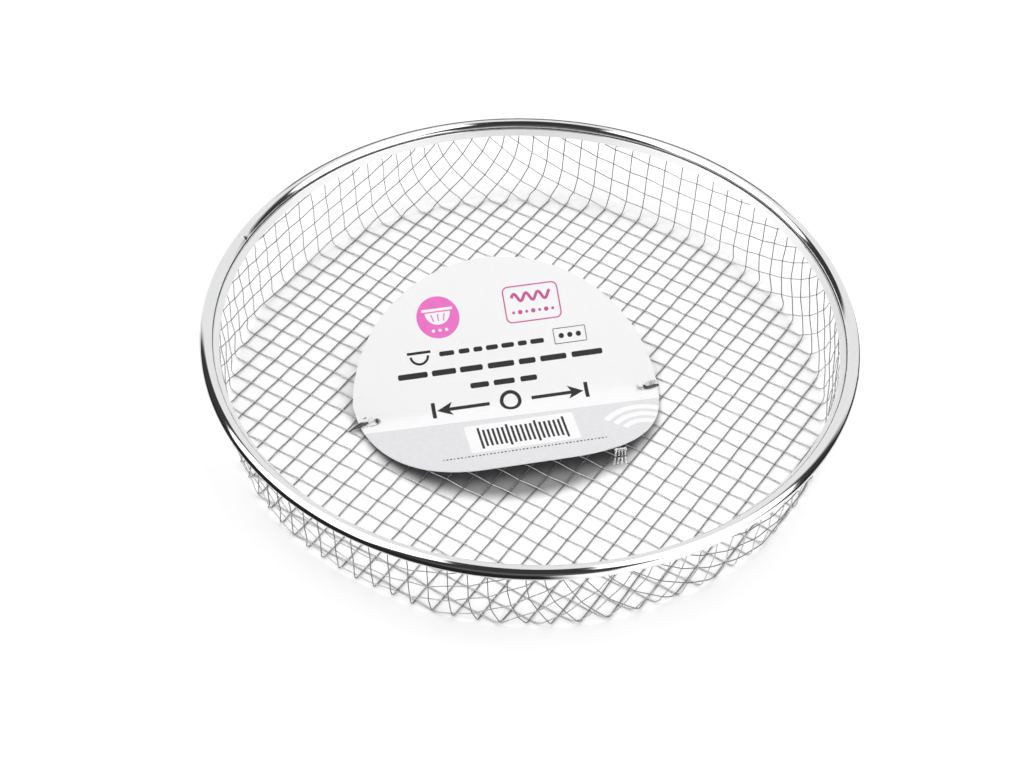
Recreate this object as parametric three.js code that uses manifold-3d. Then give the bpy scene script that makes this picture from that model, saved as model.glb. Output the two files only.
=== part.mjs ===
import * as THREE from 'three';
import { mergeVertices } from 'three/addons/utils/BufferGeometryUtils.js';
import Module from 'manifold-3d';

// A shallow round strainer basket of woven stainless wire with a rolled rim, and a paper card tied to
// its floor. Millimetres, +Z up. The origin is the middle of the basket at the level it stands on.
// Wires of the warp run along Y and wires of the weft along X on the flat floor.

const rim_diameter = 210;
const bead_diameter = 4.8;
const rim_sheet = 0.38;
const lip_reach = 3.7;
const lip_drop = 2;
const bead_side_angle = 190;
const bead_end_angle = -110;
const core_diameter = 3;
const basket_depth = 28.9;
const floor_inset = 5.1;
const bend_radius = 1.8;
const wall_top_inset = 2.8;
const wall_top_drop = 2;
const flare_drop = 3;
const bend_bulge = 1.2;
const bulge_azimuth = -60;
const bulge_half_angle = 27;
const bulge_fade_angle = 14;
const bulge_floor_reach = 25;
const warp_wire_count = 39;
const outer_mesh_share = 0.848;
const wire_diameter = 0.4;
const weave_clearance = 0.1;
const piece_clearance = 0.3;
const weld_depth = 0.6;
const seam_angles = [23, 183.6];

const card_radius = 50.5;
const card_foot_depth = 30.3;
const card_foot_half_width = 14;
const card_thickness = 0.4;
const card_tilt = 33;
const card_bend_radius = 6;
const card_lift_radius = 94;
const card_centre = [-1.1, -10.4];
const card_turn = 45.1;

const tie_width = 2.2;
const tie_thickness = 0.45;
const tie_corner = 0.6;
const left_tie_turn = -156;
const left_tie_overlap = 7;
const left_tie_reach = 3;
const right_tie_turn = -23;
const right_tie_overlap = 5.6;
const right_tie_reach = 2.2;
const tab_side_inset = 21.5;
const tab_foot_reach = 1.5;
const tab_height = 5.2;
const tab_width = 3.4;
const tab_depth = 1.5;
const tab_ribs = 3;

const rim_steps = 48;
const bead_facets = 8;
const bead_inner_facets = 5;
const core_steps = 48;
const core_sides = 6;
const wire_sides = 3;
const path_splits = 3;
const straightness = 0.04;
const bend_straightness = 0.25;
const least_step = 0.3;

const steel = new THREE.MeshStandardMaterial({ color: 0xa9abae, roughness: 0.3, metalness: 1 });
const bright_steel = new THREE.MeshStandardMaterial({ color: 0xd2d3d4, roughness: 0.12, metalness: 1 });
const card_paper = new THREE.MeshStandardMaterial({ color: 0xf5f5f4, roughness: 0.75, metalness: 0 });
const tie_plastic = new THREE.MeshStandardMaterial({ color: 0x3a3b3d, roughness: 0.35, metalness: 0 });
const tab_plastic = new THREE.MeshStandardMaterial({ color: 0xdfe3e4, roughness: 0.2, metalness: 0 });

const wasm = await Module();
wasm.setup();

function radians(degrees) {
  return degrees * Math.PI / 180;
}

function solidOf(geometry) {
  const bare = geometry.clone();
  bare.deleteAttribute('normal');
  bare.deleteAttribute('uv');
  const merged = mergeVertices(bare, 1e-4);
  return new wasm.Manifold(new wasm.Mesh({
    numProp: 3,
    vertProperties: new Float32Array(merged.attributes.position.array),
    triVerts: new Uint32Array(merged.index.array),
  }));
}

function geometryOf(solid) {
  const mesh = solid.getMesh();
  const geometry = new THREE.BufferGeometry();
  geometry.setAttribute('position', new THREE.BufferAttribute(new Float32Array(mesh.vertProperties), 3));
  geometry.setIndex(new THREE.BufferAttribute(new Uint32Array(mesh.triVerts), 1));
  geometry.computeVertexNormals();
  return geometry;
}

// Levels and radii. The weft passes over and under the warp, so its knuckles are what the basket stands on.
const bead_radius = bead_diameter / 2;
const core_radius = core_diameter / 2;
const bead_ring_radius = rim_diameter / 2 - bead_radius;
const crossing_gap = wire_diameter + weave_clearance;
const mesh_half_height = crossing_gap + wire_diameter / 2;
const mesh_level = mesh_half_height;
const floor_radius = bead_ring_radius - floor_inset;
const wall_top_radius = bead_ring_radius - wall_top_inset;
const bead_level = mesh_level + basket_depth;

// The middle surface of the mesh is a surface of revolution: flat floor, bend, leaning wall and a flare
// that aims at the core ring inside the bead. The distance s runs along it from the middle outwards.
const lean = Math.atan((wall_top_radius - floor_radius) / (basket_depth - wall_top_drop));
const turn = Math.PI / 2 - lean;
const bend_start = floor_radius - bend_radius * Math.tan(turn / 2);
const wall_start = bend_start + bend_radius * turn;
const wall_foot_radius = bend_start + bend_radius * Math.sin(turn);
const wall_foot_level = mesh_level + bend_radius * (1 - Math.cos(turn));
const fold_level = bead_level - flare_drop;
const wall_length = (fold_level - wall_foot_level) / Math.cos(lean);
const flare_start = wall_start + wall_length;
const fold_radius = wall_foot_radius + wall_length * Math.sin(lean);
const flare_length = Math.hypot(bead_ring_radius - fold_radius, bead_level - fold_level);
const flare_radial = (bead_ring_radius - fold_radius) / flare_length;
const flare_rise = (bead_level - fold_level) / flare_length;
const core_middle = flare_start + flare_length;
const warp_reach = Math.round((warp_wire_count - 1) / 2);
const wire_pitch = core_middle / (warp_reach + outer_mesh_share);
const weft_stop = core_middle - core_radius + weld_depth;
const warp_stop = core_middle - core_radius - piece_clearance - wire_diameter / 2;

function meridian(s) {
  if (s <= bend_start) {
    return { r: s, z: mesh_level, nr: 0, nz: 1 };
  }
  if (s <= wall_start) {
    const a = (s - bend_start) / bend_radius;
    return {
      r: bend_start + bend_radius * Math.sin(a),
      z: mesh_level + bend_radius * (1 - Math.cos(a)),
      nr: -Math.sin(a),
      nz: Math.cos(a),
    };
  }
  if (s <= flare_start) {
    const t = s - wall_start;
    return {
      r: wall_foot_radius + t * Math.sin(lean),
      z: wall_foot_level + t * Math.cos(lean),
      nr: -Math.cos(lean),
      nz: Math.sin(lean),
    };
  }
  const t = s - flare_start;
  return {
    r: fold_radius + t * flare_radial,
    z: fold_level + t * flare_rise,
    nr: -flare_rise,
    nz: flare_radial,
  };
}

function placeOf(s, phi) {
  const m = meridian(s);
  return new THREE.Vector3(m.r * Math.cos(phi), m.r * Math.sin(phi), m.z);
}

function normalOf(s, phi) {
  const m = meridian(s);
  return new THREE.Vector3(m.nr * Math.cos(phi), m.nr * Math.sin(phi), m.nz);
}

// The pressed bend stands out a little on one side, between the directions of the warp and the weft.
function bulgeOf(s, phi) {
  const off = Math.abs(phi - radians(bulge_azimuth)) / radians(1);
  const around = 1 - THREE.MathUtils.smoothstep(off, bulge_half_angle - bulge_fade_angle, bulge_half_angle);
  const along_floor = THREE.MathUtils.smoothstep(s, bend_start - bulge_floor_reach, bend_start);
  const down_wall = THREE.MathUtils.clamp((flare_start - s) / wall_length, 0, 1);
  const out = bend_bulge * around * along_floor * down_wall;
  return new THREE.Vector3(out * Math.cos(phi), out * Math.sin(phi), 0);
}

function nearest(point) {
  const r = Math.hypot(point.x, point.y);
  const dr = r - bend_start;
  const dz = point.z - mesh_level - bend_radius;
  const angle = Math.atan2(dr, -dz);
  const along_wall = (r - wall_foot_radius) * Math.sin(lean) + (point.z - wall_foot_level) * Math.cos(lean);
  const along_flare = (r - fold_radius) * flare_radial + (point.z - fold_level) * flare_rise;
  const candidates = [
    Math.min(r, bend_start),
    bend_start + bend_radius * THREE.MathUtils.clamp(angle, 0, turn),
    wall_start + THREE.MathUtils.clamp(along_wall, 0, wall_length),
    flare_start + Math.max(along_flare, 0),
  ];
  let best = candidates[0];
  let least = Infinity;
  for (const s of candidates) {
    const m = meridian(s);
    const d = Math.hypot(m.r - r, m.z - point.z);
    if (d < least) {
      least = d;
      best = s;
    }
  }
  return { s: best, phi: Math.atan2(point.y, point.x) };
}

function between(a, b) {
  const middle = nearest(placeOf(a.s, a.phi).add(placeOf(b.s, b.phi)).multiplyScalar(0.5));
  return { s: middle.s, phi: middle.phi };
}

function spread(a, b, splits) {
  if (splits === 0) {
    return [a, b];
  }
  const middle = between(a, b);
  return [...spread(a, middle, splits - 1), ...spread(middle, b, splits - 1).slice(1)];
}

function surfaceDistance(a, b) {
  const points = spread(a, b, 2).map((p) => placeOf(p.s, p.phi));
  let sum = 0;
  for (let i = 1; i < points.length; i += 1) {
    sum += points[i].distanceTo(points[i - 1]);
  }
  return sum;
}

// The next crossing of the cloth lies a set distance along the surface from each of its two neighbours.
function crossingBeside(a, distance_a, b, distance_b, guess) {
  const nudge = 1e-4;
  const largest_step = wire_pitch / 2;
  let s = guess.s;
  let phi = guess.phi;
  for (let round = 0; round < 40; round += 1) {
    const r = Math.max(meridian(s).r, 1);
    const missA = (ds, dp) => surfaceDistance({ s: s + ds, phi: phi + dp / r }, a) - distance_a;
    const missB = (ds, dp) => surfaceDistance({ s: s + ds, phi: phi + dp / r }, b) - distance_b;
    const fa = missA(0, 0);
    const fb = missB(0, 0);
    const as = (missA(nudge, 0) - fa) / nudge;
    const ap = (missA(0, nudge) - fa) / nudge;
    const bs = (missB(nudge, 0) - fb) / nudge;
    const bp = (missB(0, nudge) - fb) / nudge;
    const det = as * bp - ap * bs;
    let step_s = (ap * fb - bp * fa) / det;
    let step_p = (bs * fa - as * fb) / det;
    const size = Math.max(Math.abs(step_s), Math.abs(step_p));
    if (size > largest_step) {
      step_s *= largest_step / size;
      step_p *= largest_step / size;
    }
    s += step_s;
    phi += step_p / r;
    if (size < 1e-7) {
      break;
    }
  }
  return { s, phi };
}

// One quarter of the cloth, from the middle warp wire and the line halfway between the two middle weft
// wires. Its crossings are keyed by the number of the warp wire and of the weft wire.
const weft_reach = warp_reach - 1;
const furthest = Math.ceil(core_middle / wire_pitch) + 2;
const crossings = new Map();

function keyOf(i, j) {
  return i + ',' + j;
}

for (let sum = 0; sum <= 2 * furthest; sum += 1) {
  for (let i = 0; i <= Math.min(sum, furthest); i += 1) {
    const j = sum - i;
    if (j > furthest) {
      continue;
    }
    if (i === 0) {
      crossings.set(keyOf(i, j), { s: (j + 0.5) * wire_pitch, phi: Math.PI / 2 });
      continue;
    }
    const beside = crossings.get(keyOf(i - 1, j));
    const below = j === 0 ? { s: i * wire_pitch, phi: 0 } : crossings.get(keyOf(i, j - 1));
    const corner = j === 0 ? { s: (i - 1) * wire_pitch, phi: 0 } : crossings.get(keyOf(i - 1, j - 1));
    if (!beside || !below || !corner || Math.min(beside.s, below.s) > core_middle) {
      continue;
    }
    const start = placeOf(beside.s, beside.phi).add(placeOf(below.s, below.phi));
    start.sub(placeOf(corner.s, corner.phi));
    const plan_radius = Math.hypot(start.x, start.y);
    const guess = {
      s: plan_radius < bend_start ? plan_radius : Math.max(beside.s, below.s) + 0.3 * wire_pitch,
      phi: Math.atan2(start.y, start.x),
    };
    const rise = j === 0 ? wire_pitch / 2 : wire_pitch;
    crossings.set(keyOf(i, j), crossingBeside(beside, wire_pitch, below, rise, guess));
  }
}

function crossingAt(warp, weft) {
  const found = crossings.get(keyOf(Math.abs(warp), weft >= 0 ? weft : -1 - weft));
  if (!found) {
    return null;
  }
  const x = Math.cos(found.phi) * (warp >= 0 ? 1 : -1);
  const y = Math.sin(found.phi) * (weft >= 0 ? 1 : -1);
  return { s: found.s, phi: Math.atan2(y, x), side: (warp + weft) % 2 === 0 ? 1 : -1 };
}

// One wire of each crossing stays straight and the other takes the crimp: the weft on the floor, and on
// the wall the wire that lies more level, since it has to bend there anyway.
function takesCrimp(node, is_warp) {
  const warp_is_level = node.s > bend_start && Math.abs(Math.cos(node.phi)) > Math.abs(Math.sin(node.phi));
  return warp_is_level === is_warp;
}

function offsetOf(node, is_warp) {
  if (!takesCrimp(node, is_warp)) {
    return 0;
  }
  return (is_warp ? -node.side : node.side) * crossing_gap;
}

// A wire's middle line from rim to rim: every crossing it needs, and points between them on the bends.
function wirePath(nodes, is_warp) {
  const stop = is_warp ? warp_stop : weft_stop;
  const samples = [];
  for (let i = 1; i < nodes.length; i += 1) {
    const a = nodes[i - 1];
    const b = nodes[i];
    const offset_a = offsetOf(a, is_warp);
    const offset_b = offsetOf(b, is_warp);
    const line = spread(a, b, path_splits);
    line.forEach((p, k) => {
      if (k === 0 && i > 1) {
        return;
      }
      const f = k / (line.length - 1);
      const node = k === 0 ? a : (k === line.length - 1 ? b : null);
      samples.push({
        s: p.s,
        phi: p.phi,
        offset: offset_a * (1 - f) + offset_b * f,
        crossing: node !== null,
        keep: node !== null && takesCrimp(node, is_warp),
      });
    });
  }
  const first = samples.findIndex((p) => p.s < stop);
  const last = samples.length - 1 - [...samples].reverse().findIndex((p) => p.s < stop);
  const cut = (inner, outer) => {
    const f = (stop - inner.s) / (outer.s - inner.s);
    let dphi = outer.phi - inner.phi;
    dphi -= 2 * Math.PI * Math.round(dphi / (2 * Math.PI));
    return {
      s: stop,
      phi: inner.phi + f * dphi,
      offset: inner.offset + f * (outer.offset - inner.offset),
      crossing: true,
      keep: true,
    };
  };
  const kept = samples.slice(first, last + 1);
  const line = [cut(samples[first], samples[first - 1]), ...kept, cut(samples[last], samples[last + 1])];
  for (const p of line) {
    p.normal = normalOf(p.s, p.phi);
    p.point = placeOf(p.s, p.phi).addScaledVector(p.normal, p.offset).add(bulgeOf(p.s, p.phi));
  }
  return thinned(line);
}

// A path keeps its crimped crossings, then the straight-through crossings that a chord would miss, and
// then the points between crossings that a bend needs.
function thinned(line) {
  const chord = new THREE.Line3();
  const foot = new THREE.Vector3();
  const mark = (from, to, allowed, candidate) => {
    let worst = allowed;
    let at = -1;
    chord.set(line[from].point, line[to].point);
    for (let i = from + 1; i < to; i += 1) {
      if (!candidate(line[i])) {
        continue;
      }
      chord.closestPointToPoint(line[i].point, true, foot);
      const off = foot.distanceTo(line[i].point);
      if (off > worst) {
        worst = off;
        at = i;
      }
    }
    if (at > 0) {
      line[at].keep = true;
      mark(from, at, allowed, candidate);
      mark(at, to, allowed, candidate);
    }
  };
  const pass = (allowed, candidate) => {
    let from = 0;
    for (let to = 1; to < line.length; to += 1) {
      if (line[to].keep) {
        mark(from, to, allowed, candidate);
        from = to;
      }
    }
  };
  pass(straightness, (p) => p.crossing);
  pass(bend_straightness, () => true);
  const chosen = line.filter((p) => p.keep);
  const last = chosen.length - 1;
  return chosen.filter((p, i) => {
    if (i === 0 || i === last) {
      return true;
    }
    const before = p.point.distanceTo(chosen[i - 1].point);
    const after = p.point.distanceTo(chosen[i + 1].point);
    if (p.crossing) {
      return (i > 1 || before > least_step) && (i < last - 1 || after > least_step);
    }
    return Math.min(before, after) > least_step;
  });
}

// A three-sided wire. It is as tall as the wire's diameter across the mesh surface.
function wireGeometry(path) {
  const corner = wire_diameter / 2 / Math.sin(radians(60));
  const positions = [];
  const index = [];
  path.forEach((p, i) => {
    const before = path[Math.max(i - 1, 0)].point;
    const after = path[Math.min(i + 1, path.length - 1)].point;
    const into = p.point.clone().sub(before).normalize();
    const out = after.clone().sub(p.point).normalize();
    const tangent = into.add(out).normalize();
    const side = tangent.clone().cross(p.normal).normalize();
    const up = side.clone().cross(tangent);
    for (let k = 0; k < wire_sides; k += 1) {
      const a = 2 * Math.PI * k / wire_sides;
      const v = p.point.clone().addScaledVector(side, corner * Math.cos(a));
      v.addScaledVector(up, corner * Math.sin(a));
      positions.push(v.x, v.y, v.z);
    }
  });
  for (let i = 0; i < path.length - 1; i += 1) {
    for (let k = 0; k < wire_sides; k += 1) {
      const a = i * wire_sides + k;
      const b = i * wire_sides + (k + 1) % wire_sides;
      const c = a + wire_sides;
      const d = b + wire_sides;
      index.push(a, c, b, b, c, d);
    }
  }
  const end = (path.length - 1) * wire_sides;
  index.push(0, 1, 2, end, end + 2, end + 1);
  const geometry = new THREE.BufferGeometry();
  geometry.setAttribute('position', new THREE.Float32BufferAttribute(positions, 3));
  geometry.setIndex(index);
  geometry.computeVertexNormals();
  return geometry;
}

function wireNodes(number, is_warp) {
  const nodes = [];
  for (let other = -furthest; other <= furthest; other += 1) {
    const node = is_warp ? crossingAt(number, other) : crossingAt(other, number);
    if (node) {
      nodes.push(node);
    }
  }
  return nodes;
}

const basket = new THREE.Group();
const mesh_group = new THREE.Group();
const rim_group = new THREE.Group();
const card_group = new THREE.Group();
basket.add(mesh_group, rim_group, card_group);

function addPiece(group, name, geometry, material) {
  const mesh = new THREE.Mesh(geometry, material);
  mesh.name = name;
  group.add(mesh);
  return mesh;
}

for (let number = -warp_reach; number <= warp_reach; number += 1) {
  const name = 'warp_wire_' + String(number + warp_reach + 1).padStart(2, '0');
  addPiece(mesh_group, name, wireGeometry(wirePath(wireNodes(number, true), true)), steel);
}

// The weft wires are folded on to the core ring, so they and the ring are one piece.
const core_ring = new THREE.TorusGeometry(bead_ring_radius, core_radius, core_sides, core_steps);
core_ring.translate(0, 0, bead_level);
let weft_solid = solidOf(core_ring);
for (let number = -1 - weft_reach; number <= weft_reach; number += 1) {
  weft_solid = weft_solid.add(solidOf(wireGeometry(wirePath(wireNodes(number, false), false))));
}
addPiece(mesh_group, 'weft_wires', geometryOf(weft_solid), steel);

// The rim is sheet rolled round the core: a lip inside, the bead, and an end tucked under the mesh.
class RimArc extends THREE.Curve {
  constructor(from, to) {
    super();
    this.from = from;
    this.to = to;
  }

  getPoint(t, target = new THREE.Vector3()) {
    const a = this.from + t * (this.to - this.from);
    return target.set(bead_ring_radius * Math.cos(a), bead_ring_radius * Math.sin(a), bead_level);
  }
}

function rimSection() {
  const points = [];
  const inner_radius = bead_radius - rim_sheet;
  const sweep = bead_side_angle - bead_end_angle;
  const lip_edge = new THREE.Vector2(-lip_reach, -lip_drop);
  const lip_root = new THREE.Vector2(Math.cos(radians(bead_side_angle)), Math.sin(radians(bead_side_angle)));
  lip_root.multiplyScalar(bead_radius);
  const along = lip_root.clone().sub(lip_edge).normalize();
  const lip_under = lip_edge.clone().add(new THREE.Vector2(along.y, -along.x).multiplyScalar(rim_sheet));
  points.push(lip_edge);
  for (let i = 0; i <= bead_facets; i += 1) {
    const a = radians(bead_side_angle - sweep * i / bead_facets);
    points.push(new THREE.Vector2(bead_radius * Math.cos(a), bead_radius * Math.sin(a)));
  }
  for (let i = 0; i <= bead_inner_facets; i += 1) {
    const a = radians(bead_end_angle + sweep * i / bead_inner_facets);
    points.push(new THREE.Vector2(inner_radius * Math.cos(a), inner_radius * Math.sin(a)));
  }
  points.push(lip_under);
  return new THREE.Shape(points.map((p) => new THREE.Vector2(-p.y, -p.x)));
}

const seam_gap = piece_clearance / (rim_diameter / 2);
const rim_section = rimSection();
for (let i = 0; i < 2; i += 1) {
  const from = radians(seam_angles[i]) + seam_gap / 2;
  const to = radians(i === 0 ? seam_angles[1] : seam_angles[0] + 360) - seam_gap / 2;
  const geometry = new THREE.ExtrudeGeometry(rim_section, {
    steps: Math.round(rim_steps * (to - from) / (2 * Math.PI)),
    bevelEnabled: false,
    extrudePath: new RimArc(from, to),
  });
  addPiece(rim_group, i === 0 ? 'rim_band_a' : 'rim_band_b', geometry, bright_steel);
}

// The card: a disc cut straight at its foot. Along the line of its two ties it bends up at the back,
// and its foot bows up off the mesh at the front.
const card_seat = mesh_level + mesh_half_height + piece_clearance;
const card_bend_half = card_bend_radius * Math.tan(radians(card_tilt / 2));
card_group.position.set(card_centre[0], card_centre[1], card_seat);
card_group.rotation.z = radians(card_turn);

function cardOutline() {
  const shape = new THREE.Shape();
  const foot = -card_foot_depth;
  const flank = 0.66 * foot;
  const back_height = card_radius * Math.cos(radians(card_tilt));
  shape.moveTo(-card_foot_half_width, foot);
  shape.lineTo(card_foot_half_width, foot);
  shape.bezierCurveTo(0.71 * card_radius, foot, 0.96 * card_radius, flank, card_radius, 0);
  shape.absellipse(0, 0, card_radius, back_height, 0, Math.PI, false, 0);
  shape.bezierCurveTo(-0.96 * card_radius, flank, -0.71 * card_radius, foot, -card_foot_half_width, foot);
  return shape;
}

function cardSheet() {
  const bends = 4;
  const tilt = radians(card_tilt);
  const foot = card_foot_depth + card_thickness - card_bend_half;
  const back = card_radius * Math.cos(tilt) + 2 * card_thickness;
  const under = [];
  const over = [];
  const addRow = (along, height, slope) => {
    under.push(new THREE.Vector2(along, height));
    over.unshift(new THREE.Vector2(
      along - card_thickness * Math.sin(slope), height + card_thickness * Math.cos(slope)));
  };
  for (let i = bends; i >= 0; i -= 1) {
    const past = foot * i / bends;
    addRow(-card_bend_half - past, past * past / (2 * card_lift_radius), -Math.atan(past / card_lift_radius));
  }
  for (let i = 1; i <= bends; i += 1) {
    const slope = tilt * i / bends;
    addRow(card_bend_radius * Math.sin(slope) - card_bend_half, card_bend_radius * (1 - Math.cos(slope)), slope);
  }
  addRow(back, back * Math.tan(tilt), tilt);
  const width = 2 * card_radius + card_thickness;
  const section = new THREE.Shape([...under, ...over]);
  const sheet = new THREE.ExtrudeGeometry(section, { depth: width, bevelEnabled: false });
  sheet.translate(0, 0, -width / 2);
  const turned = new THREE.Matrix4().makeBasis(
    new THREE.Vector3(0, 1, 0), new THREE.Vector3(0, 0, 1), new THREE.Vector3(1, 0, 0));
  return sheet.applyMatrix4(turned);
}

const card_prism = new THREE.ExtrudeGeometry(cardOutline(), {
  depth: card_radius,
  bevelEnabled: false,
  curveSegments: 16,
});
card_prism.translate(0, 0, -card_thickness);
const card_solid = solidOf(cardSheet()).intersect(solidOf(card_prism));
addPiece(card_group, 'label_card', geometryOf(card_solid), card_paper);

// Two flat ties run over the ends of the card's bend and turn down on to the mesh.
const tie_drop = card_thickness + piece_clearance;
const tie_below = card_bend_half + tie_width / 2;

function tieGeometry(length) {
  const outer = tie_corner + tie_thickness;
  const shape = new THREE.Shape();
  shape.moveTo(0, 0);
  shape.lineTo(length - outer, 0);
  shape.absarc(length - outer, -tie_corner, tie_corner, Math.PI / 2, 0, true);
  shape.lineTo(length - tie_thickness, -tie_drop);
  shape.lineTo(length, -tie_drop);
  shape.lineTo(length, -tie_corner);
  shape.absarc(length - outer, -tie_corner, outer, 0, Math.PI / 2, false);
  shape.lineTo(0, tie_thickness);
  const strap = new THREE.ExtrudeGeometry(shape, { depth: tie_width, bevelEnabled: false, curveSegments: 3 });
  strap.translate(0, 0, -tie_width / 2);
  return strap.rotateX(Math.PI / 2);
}

function addTie(name, side, turn, overlap, reach) {
  const tie = addPiece(card_group, name, tieGeometry(overlap + reach), tie_plastic);
  tie.position.set(side * (card_radius - overlap), -tie_below, tie_drop);
  tie.rotation.z = radians(turn);
}

addTie('tie_left', -1, left_tie_turn, left_tie_overlap, left_tie_reach);
addTie('tie_right', 1, right_tie_turn, right_tie_overlap, right_tie_reach);

// A ribbed clear tab stands on the mesh in front of the lifted foot of the card.

function tabGeometry() {
  const rib = tab_width / tab_ribs;
  const shape = new THREE.Shape();
  shape.moveTo(0, 0);
  shape.lineTo(tab_width, 0);
  shape.lineTo(tab_width, tab_depth - rib / 2);
  for (let i = tab_ribs; i > 0; i -= 1) {
    shape.absarc((i - 0.5) * rib, tab_depth - rib / 2, 0.46 * rib, 0, Math.PI, false);
  }
  shape.lineTo(0, tab_depth - rib / 2);
  const tab = new THREE.ExtrudeGeometry(shape, { depth: tab_height, bevelEnabled: false, curveSegments: 3 });
  return tab.translate(-tab_width / 2, -tab_depth / 2, 0);
}

const tab = addPiece(card_group, 'tie_tab', tabGeometry(), tab_plastic);
tab.position.set(card_radius - tab_side_inset, -card_foot_depth - tab_foot_reach, 0);
tab.rotation.z = Math.PI;

export default basket;
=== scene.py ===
import math

import bpy
from mathutils import Matrix, Vector
from mathutils.geometry import delaunay_2d_cdt


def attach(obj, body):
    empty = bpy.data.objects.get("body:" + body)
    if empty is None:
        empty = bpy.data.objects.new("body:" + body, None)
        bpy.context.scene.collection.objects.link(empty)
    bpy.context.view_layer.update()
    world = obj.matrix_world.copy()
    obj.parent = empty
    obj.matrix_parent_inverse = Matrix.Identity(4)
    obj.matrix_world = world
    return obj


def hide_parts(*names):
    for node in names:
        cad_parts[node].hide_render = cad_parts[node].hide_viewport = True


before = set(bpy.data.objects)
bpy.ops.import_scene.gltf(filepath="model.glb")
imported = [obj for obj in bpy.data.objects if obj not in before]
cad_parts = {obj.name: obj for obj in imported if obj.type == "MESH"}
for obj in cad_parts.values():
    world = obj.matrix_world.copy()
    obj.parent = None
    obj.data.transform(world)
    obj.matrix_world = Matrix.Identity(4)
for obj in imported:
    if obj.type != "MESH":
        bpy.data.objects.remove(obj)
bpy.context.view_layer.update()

scene = bpy.context.scene

# The view: the basket seen from its front right, halfway up, by a long lens held slightly tilted.
picture_width = 1024
focal_pixels = 2189.55
sensor = 36.0
view_azimuth = math.radians(31.0)
view_elevation = math.radians(45.07)
view_roll = math.radians(2.16)
view_distance = 0.68074
view_target = Vector((0.00938, -0.02565, 0.0296))

toward_viewer = Vector((math.sin(view_azimuth), -math.cos(view_azimuth), 0))
level_right = Vector((math.cos(view_azimuth), math.sin(view_azimuth), 0))
back = toward_viewer * math.cos(view_elevation) + Vector((0, 0, math.sin(view_elevation)))
level_up = back.cross(level_right)
right = level_right * math.cos(view_roll) + level_up * math.sin(view_roll)
up = back.cross(right)
camera_data = bpy.data.cameras.new("view")
camera_data.sensor_fit = "HORIZONTAL"
camera_data.sensor_width = sensor
camera_data.lens = focal_pixels / picture_width * sensor
camera_data.clip_start = 0.01
camera = bpy.data.objects.new("view", camera_data)
scene.collection.objects.link(camera)
turned = Matrix((right, up, back)).transposed().to_4x4()
camera.matrix_world = Matrix.Translation(view_target + back * view_distance) @ turned
scene.camera = camera
scene.view_settings.view_transform = "Standard"


# The woven cloth: stainless wire, plain weave, pressed into a flat floor, a bend and a leaning wall.
# Its edge flares under the rim and ends at the core ring; its fold over the ring is not drawn. A
# cross-section of its middle surface is measured by the distance s along it from the middle of the floor.
wire_diameter = 0.00035
warp_crimp = 0.00014
weft_crimp = 0.00022
mesh_level = weft_crimp + wire_diameter / 2
bead_level = 0.0296
floor_radius = 0.0975
bend_radius = 0.0018
wall_top_radius = 0.0998
wall_top_drop = 0.002
flare_drop = 0.003
core_radius = 0.0015
ring_radius = 0.1026
pitches_to_core = 19.848

basket_depth = bead_level - mesh_level
lean = math.atan((wall_top_radius - floor_radius) / (basket_depth - wall_top_drop))
turn = math.pi / 2 - lean
bend_start = floor_radius - bend_radius * math.tan(turn / 2)
wall_start = bend_start + bend_radius * turn
wall_foot = (bend_start + bend_radius * math.sin(turn), mesh_level + bend_radius * (1 - math.cos(turn)))
fold_level = bead_level - flare_drop
wall_length = (fold_level - wall_foot[1]) / math.cos(lean)
flare_start = wall_start + wall_length
fold = (wall_foot[0] + wall_length * math.sin(lean), fold_level)
flare_length = math.hypot(ring_radius - fold[0], bead_level - fold[1])
flare = ((ring_radius - fold[0]) / flare_length, (bead_level - fold[1]) / flare_length)
core_middle = flare_start + flare_length
wire_pitch = core_middle / pitches_to_core
wire_end = core_middle - core_radius


def meridian(s):
    """Radius, level and the normal's two parts at distance s along the section."""
    if s <= bend_start:
        return s, mesh_level, 0.0, 1.0
    if s <= wall_start:
        a = (s - bend_start) / bend_radius
        r = bend_start + bend_radius * math.sin(a)
        return r, mesh_level + bend_radius * (1 - math.cos(a)), -math.sin(a), math.cos(a)
    if s <= flare_start:
        t = s - wall_start
        r = wall_foot[0] + t * math.sin(lean)
        return r, wall_foot[1] + t * math.cos(lean), -math.cos(lean), math.sin(lean)
    t = s - flare_start
    return fold[0] + t * flare[0], fold[1] + t * flare[1], -flare[1], flare[0]


def place(s, phi, offset=0.0):
    r, z, nr, nz = meridian(s)
    r += nr * offset
    return Vector((r * math.cos(phi), r * math.sin(phi), z + nz * offset))


def smooth(value, low, high):
    x = min(max((value - low) / (high - low), 0.0), 1.0)
    return x * x * (3 - 2 * x)


bulge = 0.0012
bulge_azimuth = -60
bulge_half_angle = 27
bulge_fade_angle = 14
bulge_floor_reach = 0.025


def pressed_out(s, phi):
    """The bend stands out a little between the directions of the warp and the weft."""
    off = abs(math.degrees(phi) - bulge_azimuth)
    around = 1 - smooth(off, bulge_half_angle - bulge_fade_angle, bulge_half_angle)
    along_floor = smooth(s, bend_start - bulge_floor_reach, bend_start)
    down_wall = min(max((flare_start - s) / wall_length, 0.0), 1.0)
    return bulge * around * along_floor * down_wall


def nearest(point):
    r = math.hypot(point.x, point.y)
    angle = math.atan2(r - bend_start, mesh_level + bend_radius - point.z)
    on_wall = (r - wall_foot[0]) * math.sin(lean) + (point.z - wall_foot[1]) * math.cos(lean)
    on_flare = (r - fold[0]) * flare[0] + (point.z - fold[1]) * flare[1]
    candidates = (
        min(r, bend_start),
        bend_start + bend_radius * min(max(angle, 0), turn),
        wall_start + min(max(on_wall, 0), wall_length),
        flare_start + max(on_flare, 0),
    )
    best = min(candidates, key=lambda s: math.hypot(meridian(s)[0] - r, meridian(s)[1] - point.z))
    return best, math.atan2(point.y, point.x)


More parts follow.
